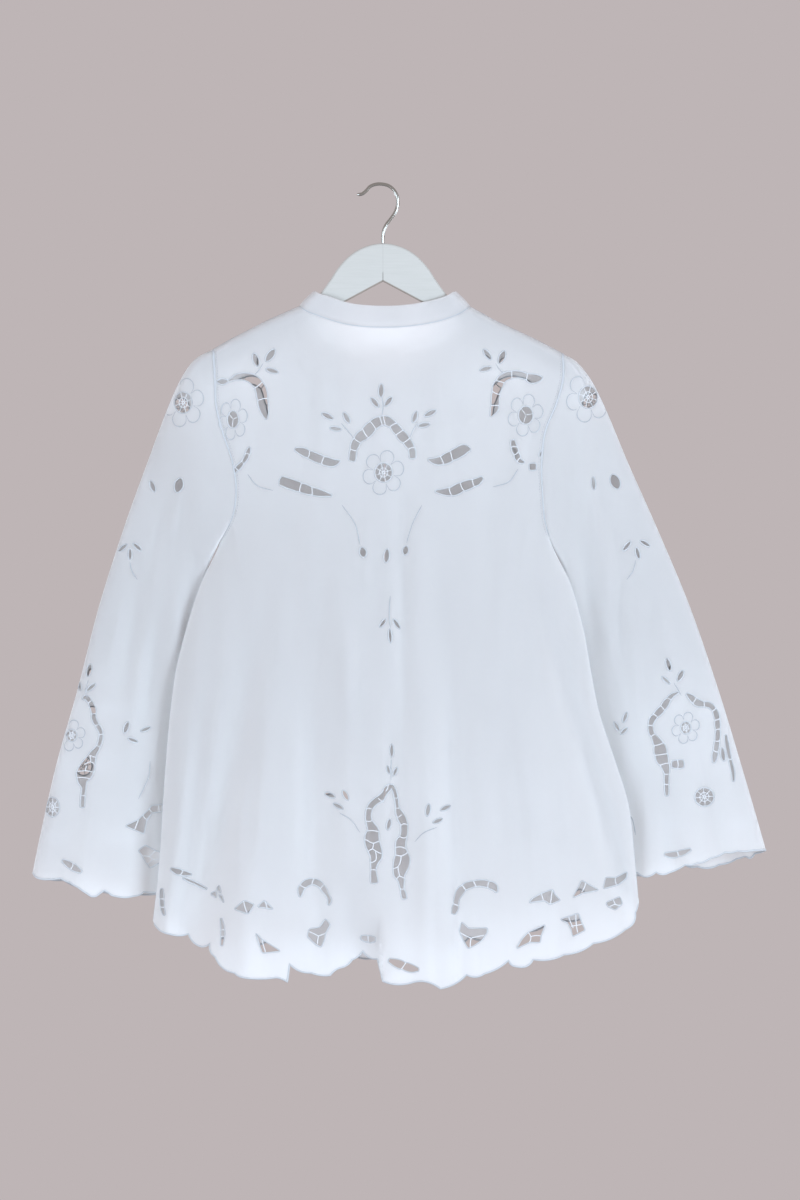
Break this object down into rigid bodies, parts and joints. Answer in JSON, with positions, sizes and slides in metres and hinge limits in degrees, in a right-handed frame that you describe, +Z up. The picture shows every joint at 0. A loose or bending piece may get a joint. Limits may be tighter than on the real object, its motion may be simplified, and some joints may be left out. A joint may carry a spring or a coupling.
{
  "type": "tablecloth jacket on hanger",
  "caption": "White cutwork jacket with a swing hem, wide sleeves and a narrow band collar, hanging flat on a wooden hanger.",
  "frame": {"origin": "inner top of the hanger's hook, where a rail carries it", "axes": "+Z up, the jacket's back faces -Y, +X to the wearer's right side"},
  "size_m": [0.8095, 0.1273, 0.89],
  "materials": {
    "cloth": "matt woven cotton",
    "wood": "white satin lacquer",
    "chrome": "polished"
  },
  "bodies": {
    "root": {"back": "cloth", "front_left": "cloth", "front_right": "cloth", "sleeve_left_back": "cloth", "sleeve_left_front": "cloth", "sleeve_right_back": "cloth", "sleeve_right_front": "cloth", "collar": "cloth", "hanger_wood": "wood", "hanger_hook": "chrome"}
  },
  "joints": []
}
